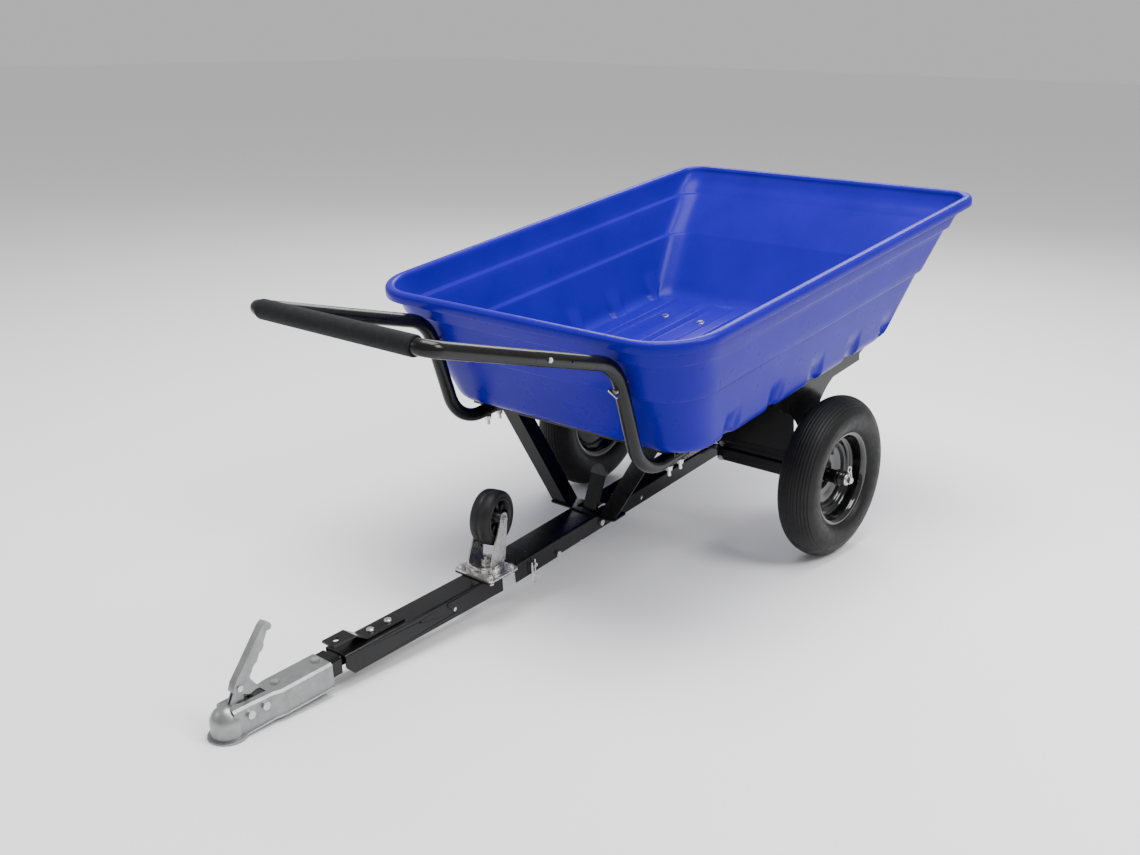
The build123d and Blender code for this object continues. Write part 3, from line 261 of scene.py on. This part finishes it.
def smooth(value):
    value = min(1.0, max(0.0, value))
    return value * value * (3 - 2 * value)


def wall_shape(stage, z):
    low_z, low, high_z, high = STAGES[stage]
    share = (z - low_z) / (high_z - low_z)
    return [a + (b - a) * share for a, b in zip(low, high)]


def inset(shape, amount):
    half, front, rear, front_r, rear_r = shape
    return [half - amount, front + amount, rear - amount, front_r - amount, rear_r - amount]


def mixed(a, b, share):
    return [p + (q - p) * share for p, q in zip(a, b)]


def scallop(y, z):
    """How far the foot of a side wall is pressed in at one of its flutes."""
    fade = smooth((SCALLOP_TOP - z) / SCALLOP_FADE)
    depth = 0.0
    for middle in SCALLOPS:
        away = abs(y - middle) / SCALLOP_HALF
        if away < 1:
            depth = max(depth, math.sqrt(1 - away * away) * smooth((1 - away) / 0.25))
    return SCALLOP_DEPTH * depth * fade


def loop_points(shape, z):
    half, front, rear, fr, rr = shape
    points = []

    def run(a, b, steps):
        for i in range(steps):
            points.append((a[0] + (b[0] - a[0]) * i / steps, a[1] + (b[1] - a[1]) * i / steps))

    def turn(centre, radius, start):
        for i in range(CORNER_STEPS):
            angle = math.radians(start + 90 * i / CORNER_STEPS)
            points.append((centre[0] + radius * math.cos(angle), centre[1] + radius * math.sin(angle)))

    run((-half + fr, front), (half - fr, front), END_STEPS)
    turn((half - fr, front + fr), fr, -90)
    run((half, front + fr), (half, rear - rr), SIDE_STEPS)
    turn((half - rr, rear - rr), rr, 0)
    run((half - rr, rear), (-half + rr, rear), END_STEPS)
    turn((-half + rr, rear - rr), rr, 90)
    run((-half, rear - rr), (-half, front + fr), SIDE_STEPS)
    turn((-half + fr, front + fr), fr, 180)
    result = []
    for x, y in points:
        dent = scallop(y, z) if abs(x) > half - 2 else 0.0
        result.append((x - math.copysign(dent, x), y, z))
    return result


def wall_loops(thickness):
    """Loops up one side of the wall, from the floor's edge to just under the rim, inset by a thickness."""
    loops = []
    radius = FLOOR_ROUND - thickness
    for degrees in (0, 12, 24, 36, 48, 60, 72, 90):
        turn = math.radians(degrees)
        z = FLOOR_Z + thickness + radius * (1 - math.cos(turn))
        loops.append((inset(wall_shape(0, z), thickness + radius * (1 - math.sin(turn))), z))
    for z in FLUTED_HEIGHTS:
        loops.append((inset(wall_shape(0, z), thickness), z))
    for stage, ledge in enumerate(LEDGES):
        for dz, share in LEDGE_ROUND:
            z = ledge + dz - (0 if thickness else 1.0)
            shape = mixed(wall_shape(stage, z), wall_shape(stage + 1, z), share)
            loops.append((inset(shape, thickness), z))
        if stage == 0:
            for z in UPPER_HEIGHTS:
                loops.append((inset(wall_shape(1, z), thickness), z))
    loops.append((inset(wall_shape(2, TOP_HEIGHT), thickness), TOP_HEIGHT))
    return loops


# the rolled rim's section: how far out from the rim's line, and the height
RIM_PROFILE = ((-5.6, 545), (-5.5, 558), (-3, 561), (5, 561), (9, 557.5), (9.3, 543), (10, 541.8),
               (12.3, 541.8), (13, 543), (13, 554), (12.2, 559.5), (9.6, 563.6), (5, 565.4),
               (-3, 565.6), (-7.5, 564.4), (-10.2, 561.4), (-11.3, 557), (-11.6, 548))


def rim_loop(out, z):
    return inset(RIM_LINE, -out), z


FLOOR_RIBS = (-295.0, -177.0, -59.0, 59.0, 177.0, 295.0)
RIB_HALF, RIB_FRONT, RIB_REAR, RIB_HEIGHT = 24.0, -500.0, 292.0, 12.0
RIB_CORNER, RIB_EDGE = 11.0, 4.5
# the ribbed field's sides and its grid: close rows over the ribs' ends, wide ones between them
FIELD = (-326.0, 326.0, -510.0, 300.0)
FIELD_COLUMNS, CLOSE_ROWS = 163, 3.5


def rib_height(x, y, half):
    middle, reach = (RIB_FRONT + RIB_REAR) / 2, (RIB_REAR - RIB_FRONT) / 2 - (RIB_HALF - half)
    best = 0.0
    for rib in FLOOR_RIBS:
        dx, dy = abs(x - rib) - (half - RIB_CORNER), abs(y - middle) - (reach - RIB_CORNER)
        outside = math.hypot(max(dx, 0), max(dy, 0)) + min(max(dx, dy), 0) - RIB_CORNER
        best = max(best, smooth(-outside / RIB_EDGE))
    return RIB_HEIGHT * best


def floor_into(made, edge, z, half, place):
    """Fills a loop with a floor whose ribs stand up, as a fine grid with a flat margin round it."""
    x0, x1, y0, y1 = FIELD
    xs = [x0 + (x1 - x0) * i / FIELD_COLUMNS for i in range(FIELD_COLUMNS + 1)]
    front = [y0 + CLOSE_ROWS * i for i in range(12)]
    middle = list(range(-440, 251, 30))
    ys = front + middle + [y1 - CLOSE_ROWS * i for i in range(10)][::-1]
    grid = [[made.verts.new(place @ Vector((x, y, z + rib_height(x, y, half)))) for x in xs] for y in ys]
    for row in range(len(ys) - 1):
        for col in range(len(xs) - 1):
            made.faces.new((grid[row][col], grid[row][col + 1], grid[row + 1][col + 1], grid[row + 1][col]))
    hole = [(x, y0) for x in xs[:-1]] + [(x1, y) for y in ys[:-1]] + [(x, y1) for x in xs[:0:-1]]
    hole += [(x0, y) for y in ys[:0:-1]]
    outer = [(x, y) for x, y, _ in edge]
    points = [Vector(p) for p in outer + hole]
    n, m = len(outer), len(hole)
    edges = [(i, (i + 1) % n) for i in range(n)] + [(n + i, n + (i + 1) % m) for i in range(m)]
    flat, _, faces, _, _, _ = delaunay_2d_cdt(points, edges, [], 1, 1e-6)
    verts = [made.verts.new(place @ Vector((p.x, p.y, z))) for p in flat]
    for face in faces:
        cx = sum(flat[i].x for i in face) / len(face)
        cy = sum(flat[i].y for i in face) / len(face)
        if x0 < cx < x1 and y0 < cy < y1:
            continue
        made.faces.new([verts[i] for i in face])


def build_tub():
    outer = wall_loops(0.0)
    rim = [rim_loop(*point) for point in RIM_PROFILE]
    inner = wall_loops(WALL)
    loops = outer + rim + inner[::-1]
    made = bmesh.new()
    rings = []
    for shape, z in loops:
        rings.append([made.verts.new(TUB @ Vector(p)) for p in loop_points(shape, z)])
    for low, high in zip(rings, rings[1:]):
        for i in range(len(low)):
            j = (i + 1) % len(low)
            made.faces.new((low[i], low[j], high[j], high[i]))
    floor_into(made, loop_points(*outer[0]), FLOOR_Z, RIB_HALF - WALL, TUB)
    floor_into(made, loop_points(*inner[0]), FLOOR_Z + WALL, RIB_HALF, TUB)
    piece_from("tub_shell", made, "tub_body", "tub_plastic", ["tub"])


# ---- wheels ---------------------------------------------------------------------------------------
WHEEL_X = 378.5


def wheel_frame(side):
    """A wheel's own frame: its outer face at +X."""
    turned = Matrix.Diagonal((side, 1, 1, 1))
    return CHASSIS @ Matrix.Translation((side * WHEEL_X, 0, 0)) @ turned


TYRE_SECTION, TYRE_MIDDLE = 50.0, 150.0
TYRE_LIMIT, TYRE_OUTSIDE = 49.95, 199.95
# round the section, in degrees from the middle of the tread: the bead, and the tread's edge
BEAD, TREAD_EDGE = 139, 56.0
BEAD_POINTS, TREAD_POINTS = 26, 120
GROOVE_PITCH, GROOVE_DEPTH = 8.4, 1.9
SIDE_RIBS = ((76, 0.7, 1.2), (112, 0.6, 1.4))   # the sidewall's fine ribs: angle, height and width


def tyre_profile():
    """The tyre's section: a round tube with grooves in its tread, closed across the beads."""
    points = []
    for i in range(BEAD_POINTS):
        points.append((-BEAD + (BEAD - TREAD_EDGE) * i / BEAD_POINTS, 0.0))
    for i in range(TREAD_POINTS + 1):
        angle = -TREAD_EDGE + 2 * TREAD_EDGE * i / TREAD_POINTS
        arc = math.radians(angle) * TYRE_SECTION
        across = (arc / GROOVE_PITCH + 0.5) % 1.0
        gap = min(across, 1 - across) * GROOVE_PITCH
        depth = GROOVE_DEPTH * (1 - smooth((gap - 0.5) / 0.9))
        points.append((angle, depth))
    points += [(-a, d) for a, d in reversed(points[:BEAD_POINTS])]
    outline = []
    for angle, depth in points:
        turn = math.radians(angle)
        reach = TYRE_SECTION - depth
        for rib, height, width in SIDE_RIBS:
            reach += height * math.exp(-((abs(angle) - rib) / width) ** 2)
        reach -= 2.2 * smooth((abs(angle) - 118) / 20)
        outline.append((min(TYRE_LIMIT, max(-TYRE_LIMIT, reach * math.sin(turn))),
                        min(TYRE_OUTSIDE, TYRE_MIDDLE + reach * math.cos(turn))))
    inner = [(29, 112), (26, 104), (14, 103), (-14, 103), (-26, 104), (-29, 112)]
    return outline + inner


RIM_SHEET = 2.4


def rim_profile():
    """The outer face of the pressed rim, from the lip down the dish to the hub."""
    return [(30.5, 117.2), (33.2, 118), (35, 116.6), (35.3, 113.6), (34.2, 110), (31.5, 106.4), (28, 104),
            (22, 102.4), (12, 101.2), (5, 100.6), (1.8, 99.2), (0.2, 96), (-0.6, 91.5), (-2.4, 88.6),
            (-6, 87.4), (-9, 86.2), (-10.6, 83), (-11.6, 74), (-13.6, 64), (-17, 54), (-19.4, 44),
            (-20.2, 34), (-20, 25), (-18.6, 20), (-15, 17.4)]


def build_wheel(side, name):
    body = f"{name}_wheel"
    place = wheel_frame(side)
    tyre = revolve(tyre_profile(), place, 160)
    piece_from(f"{name}_tyre_carcass", tyre, body, "tyre_rubber", [f"{name}_tyre"])
    front = rim_profile()
    back = [(-33.2, 118), (-35, 116.6), (-35.3, 113.6), (-31.5, 106.4), (-28, 104), (-12, 101.2)]
    skin = [(x - RIM_SHEET, r - 0.6) for x, r in reversed(front[12:])]
    well = [(-3, 86), (-6, 90.5), (-11, 98.5)]
    outline = front + skin + well + [(x, r - RIM_SHEET) for x, r in reversed(back)] + back
    outline += [(-30, 104.5), (-12, 103.6), (0, 103.2), (12, 103.6), (27, 106), (30.2, 112)]
    piece_from(f"{name}_rim_dish", revolve(outline, place, 128), body, "rim_paint", [f"{name}_rim"])
    hub = [(-34, 13.4), (-34, 16.4), (-33.4, 17), (16, 17), (17.4, 17.4), (18, 19.2), (18.6, 20), (22.4, 20),
           (23, 19.2), (23.4, 17.6), (25.6, 17.6), (26, 19.4), (26.6, 20), (29.4, 20), (30, 19.4),
           (30.4, 17.2), (40.6, 17), (41.7, 16.2), (42, 15), (42, 13.4)]
    piece_from(f"{name}_hub_barrel", revolve(hub, place, 72), body, "black_paint", [f"{name}_hub"])


# ---- caster wheel and fork ------------------------------------------------------------------------
CASTER_WHEEL = JOINTS["caster_wheel_spin"]["pos_m"]
CASTER_TURN = math.radians(13.0)   # how far the fork stands turned on its swivel
CASTER_SPOKES = 8
# the faces of a box whose corners run through x, then y, then z
BOX_FACES = ((0, 1, 3, 2), (4, 6, 7, 5), (0, 4, 5, 1), (2, 3, 7, 6), (0, 2, 6, 4), (1, 5, 7, 3))
CASTER_PLACE = pitched(Vector(CASTER_WHEEL), TONGUE_PITCH) @ Matrix.Rotation(CASTER_TURN, 4, "Z")


def build_caster_wheel():
    half = [(0.7, 60.9), (1.1, 61.45), (8, 61.3), (14.5, 60.7), (18.8, 59.3), (21.4, 57.2), (23.0, 54.6),
            (23.9, 52), (23.2, 51.2), (23.4, 49), (22.6, 46.2)]
    tyre = [(-x, r) for x, r in reversed(half)] + half
    tread = revolve(tyre, CASTER_PLACE, 96)
    piece_from("caster_tread", tread, "caster_wheel", "caster_rubber", ["caster_tyre"])
    side = [(26, 4.1), (26, 12), (24.4, 13), (8, 15), (6, 17.5), (6, 36), (7.5, 38.4), (21.4, 39.6),
            (22.9, 41.5), (22.9, 45.9)]
    core = [(-x, r) for x, r in reversed(side)] + side
    made = revolve(core, CASTER_PLACE, 96)
    reach, breadth, height = (5.5, 17.5), (-1.5, 1.5), (14.2, 39)   # a spoke's extents
    for face_side in (-1, 1):
        for spoke in range(CASTER_SPOKES):
            turn = Matrix.Rotation(2 * math.pi * spoke / CASTER_SPOKES, 4, "X")
            corners = [Vector((face_side * x, y, z)) for x in reach for y in breadth for z in height]
            verts = [made.verts.new(CASTER_PLACE @ turn @ corner) for corner in corners]
            for quad in BOX_FACES:
                made.faces.new([verts[i] for i in quad])
    piece_from("caster_hub", made, "caster_wheel", "core_plastic", ["caster_core"])


CROSSBAR = (-1125.0, 682.0)   # the middle of the handle's crossbar, in the tub's frame
GRIP_HALF, GRIP_RADIUS = 210, 20.42


def build_grip():
    """Foam sleeve with a soft texture and rolled ends."""
    profile = [(-215.8, 16.0), (-215.8, 18.2), (-214.6, 19.7), (-212.4, 20.4)]
    for i in range(61):
        wave = 0.06 * math.sin(i * 2.1)
        profile.append((-GRIP_HALF + 2 * GRIP_HALF * i / 60, GRIP_RADIUS + wave))
    profile += [(212.4, 20.4), (214.6, 19.7), (215.8, 18.2), (215.8, 16.0)]
    made = revolve(profile, TUB @ Matrix.Translation((0, *CROSSBAR)), 64)
    piece_from("foam_sleeve", made, "tub_body", "grip_foam", ["handle_grip"])


build_tub()
build_wheel(-1, "left")
build_wheel(1, "right")
build_caster_wheel()
build_grip()

REPLACED = {"tub", "left_tyre", "right_tyre", "left_rim", "right_rim", "left_hub", "right_hub", "caster_tyre",
            "caster_core", "handle_grip"}
BEVELS = {"drawbar_channel": 1.2, "coupler_body": 1.8, "coupler_lever": 1.0, "tongue_sleeve": 1.2,
          "caster_fork": 1.3, "left_axle_beam": 1.2, "right_axle_beam": 1.2, "left_strut": 1.0,
          "right_strut": 1.0, "hitch_plate": 1.0}
for node_name in NODES:
    if node_name not in REPLACED:
        dress_node(node_name, BEVELS.get(node_name, 0.6))


# ---- floor, lights and camera ---------------------------------------------------------------------
def build_floor():
    made = bmesh.new()
    bmesh.ops.create_grid(made, x_segments=1, y_segments=1, size=30)
    mesh = bpy.data.meshes.new("floor")
    made.to_mesh(mesh)
    made.free()
    pale = bpy.data.materials.new("pale_floor")
    pale.use_nodes = True
    shader = pale.node_tree.nodes["Principled BSDF"]
    shader.inputs["Base Color"].default_value = (0.93, 0.93, 0.93, 1)
    shader.inputs["Roughness"].default_value = 0.9
    mesh.materials.append(pale)
    floor = bpy.data.objects.new("floor", mesh)
    bpy.context.scene.collection.objects.link(floor)


def area_light(name, place, target, size, power):
    data = bpy.data.lights.new(name, "AREA")
    data.shape = "RECTANGLE"
    data.size, data.size_y = size
    data.energy = power
    light = bpy.data.objects.new(name, data)
    light.location = place
    light.rotation_euler = (Vector(target) - Vector(place)).to_track_quat("-Z", "Y").to_euler()
    bpy.context.scene.collection.objects.link(light)


build_floor()
area_light("overhead", (0.2, 0.2, 4.2), (0, 0.1, 0.2), (2.6, 2.6), 250)
area_light("key", (2.8, 0.6, 3.2), (0, 0.1, 0.4), (1.6, 1.6), 110)
area_light("fill", (-2.6, -3.0, 2.6), (0, -0.2, 0.3), (2.4, 1.6), 20)
area_light("back", (-1.8, 3.6, 3.2), (0, 0.2, 0.5), (3.0, 1.4), 90)
world = bpy.context.scene.world or bpy.data.worlds.new("world")
bpy.context.scene.world = world
world.use_nodes = True
world.node_tree.nodes["Background"].inputs["Color"].default_value = (1, 1, 1, 1)
world.node_tree.nodes["Background"].inputs["Strength"].default_value = 0.56

AZIMUTH, ELEVATION, ROLL = math.radians(40.26), math.radians(17.67), math.radians(-0.78)
CAMERA_PLACE = Vector((1.7940, -2.1660, 1.2522))
LENS = 40.32
across = math.cos(ELEVATION)
back = Vector((math.sin(AZIMUTH) * across, -math.cos(AZIMUTH) * across, math.sin(ELEVATION)))
level = Vector((math.cos(AZIMUTH), math.sin(AZIMUTH), 0))
upright = back.cross(level)
right = math.cos(ROLL) * level - math.sin(ROLL) * upright
up = math.sin(ROLL) * level + math.cos(ROLL) * upright
camera_data = bpy.data.cameras.new("camera")
camera_data.sensor_fit = "HORIZONTAL"
camera_data.sensor_width = 36.0
camera_data.lens = LENS
camera = bpy.data.objects.new("camera", camera_data)
camera.matrix_world = Matrix.Translation(CAMERA_PLACE) @ Matrix((right, up, back)).transposed().to_4x4()
bpy.context.scene.collection.objects.link(camera)
bpy.context.scene.camera = camera
